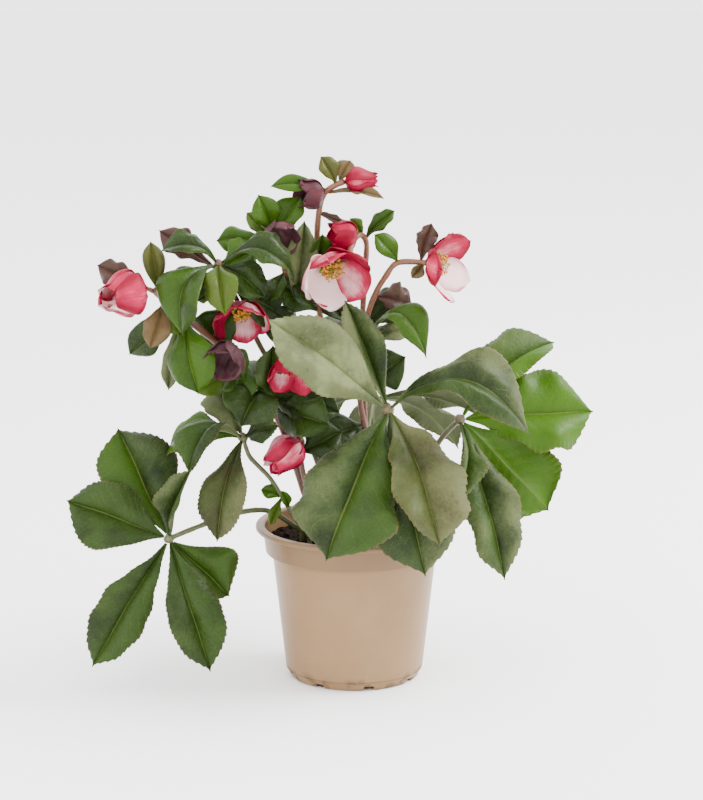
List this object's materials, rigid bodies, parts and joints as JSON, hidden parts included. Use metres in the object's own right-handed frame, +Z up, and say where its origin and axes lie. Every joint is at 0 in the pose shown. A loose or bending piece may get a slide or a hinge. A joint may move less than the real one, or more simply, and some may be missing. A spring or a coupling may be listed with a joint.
{
  "type": "potted hellebore",
  "caption": "Hellebore in a plastic nursery pot: lobed leathery leaves, reddish stems with green bracts, and nodding pink cup flowers.",
  "frame": {"origin": "centre of the pot's flat underside, on the surface it stands on", "axes": "+Z is up out of the pot, and -Y looks out of the plant's best side, so +X is to the viewer's right"},
  "size_m": [0.3955, 0.2786, 0.3897],
  "materials": {
    "pot_plastic": "satin moulded polypropylene, taupe",
    "soil": "rough dark brown peat",
    "leaf_dark": "leathery dark green leaf with a waxy bloom and pale veins",
    "leaf_bright": "bright yellow-green leaf, satin",
    "stalk_green": "green leaf stalk, satin",
    "stem_red": "pinkish brown flower stem, satin",
    "bract_green": "fresh green bract, satin",
    "sepal_pink": "pink sepals, paler inside, soft satin",
    "sepal_faded": "dusky purple faded sepals, dry and matt"
  },
  "bodies": {
    "root": {"back_leaf_stalk": "stalk_green", "back_leaflet_1": "leaf_dark", "back_leaflet_2": "leaf_dark", "back_leaflet_3": "leaf_dark", "back_leaflet_4": "leaf_dark", "back_leaflet_5": "leaf_dark", "centre_flower": "sepal_pink", "centre_stem": "stem_red", "faded_flower": "sepal_faded", "front_leaf_stalk": "stalk_green", "front_leaflet_1": "leaf_dark", "front_leaflet_2": "leaf_dark", "front_leaflet_3": "leaf_dark", "front_leaflet_4": "leaf_dark", "front_leaflet_5": "leaf_dark", "front_leaflet_6": "leaf_dark", "inner_bract_1": "bract_green", "inner_bract_2": "bract_green", "inner_bract_3": "bract_green", "inner_left_leaf_stalk": "stalk_green", "inner_left_leaflet_1": "leaf_dark", "inner_left_leaflet_2": "leaf_dark", "inner_left_leaflet_3": "leaf_dark", "inner_left_leaflet_4": "leaf_dark", "inner_left_leaflet_5": "leaf_dark", "left_bract": "bract_green", "left_flower": "sepal_pink", "left_leaf_stalk": "stalk_green", "left_leaflet_1": "leaf_dark", "left_leaflet_2": "leaf_dark", "left_leaflet_3": "leaf_dark", "left_leaflet_4": "leaf_dark", "left_leaflet_5": "leaf_dark", "left_leaflet_6": "leaf_dark", "left_stem": "stem_red", "low_bud": "sepal_pink", "low_flower": "sepal_pink", "low_stem": "stem_red", "middle_flower": "sepal_pink", "middle_stem": "stalk_green", "pot": "pot_plastic", "right_bract": "bract_green", "right_flower": "sepal_pink", "right_leaf_stalk": "stalk_green", "right_leaflet_1": "leaf_bright", "right_leaflet_2": "leaf_bright", "right_leaflet_3": "leaf_bright", "right_leaflet_4": "leaf_bright", "right_leaflet_5": "leaf_bright", "right_stem": "stem_red", "soil": "soil", "tall_stem": "stem_red", "top_flower": "sepal_pink", "upper_bract_1": "bract_green", "upper_bract_2": "bract_green", "upper_bract_3": "bract_green", "upper_bract_4": "bract_green", "upper_bract_5": "bract_green", "upper_left_stem": "stem_red", "upright_bract": "bract_green"}
  },
  "joints": []
}
